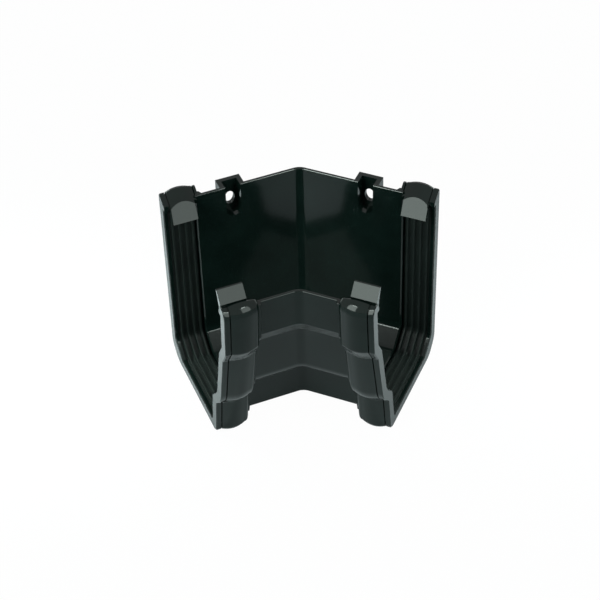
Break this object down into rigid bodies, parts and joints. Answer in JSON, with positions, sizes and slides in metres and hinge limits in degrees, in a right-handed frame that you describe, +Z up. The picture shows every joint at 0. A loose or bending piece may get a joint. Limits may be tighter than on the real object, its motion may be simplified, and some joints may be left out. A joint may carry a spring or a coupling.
{
  "type": "internal gutter angle",
  "caption": "135 degree internal corner for ogee roof gutter, with a sealed snap-in socket at each end and two rear fixing lugs.",
  "frame": {"origin": "on the ground under the middle of the part's box", "axes": "+Z up; the fascia side of the back wall faces +Y at the corner; the two arms run to +X and -X and both turn 22.5 degrees towards -Y"},
  "size_m": [0.1338, 0.103, 0.108],
  "materials": {
    "moulding": "glossy black rigid PVC",
    "seal": "satin black rubber"
  },
  "bodies": {
    "root": {"gutter_angle_body": "moulding", "seal_left": "seal", "seal_right": "seal"}
  },
  "joints": []
}
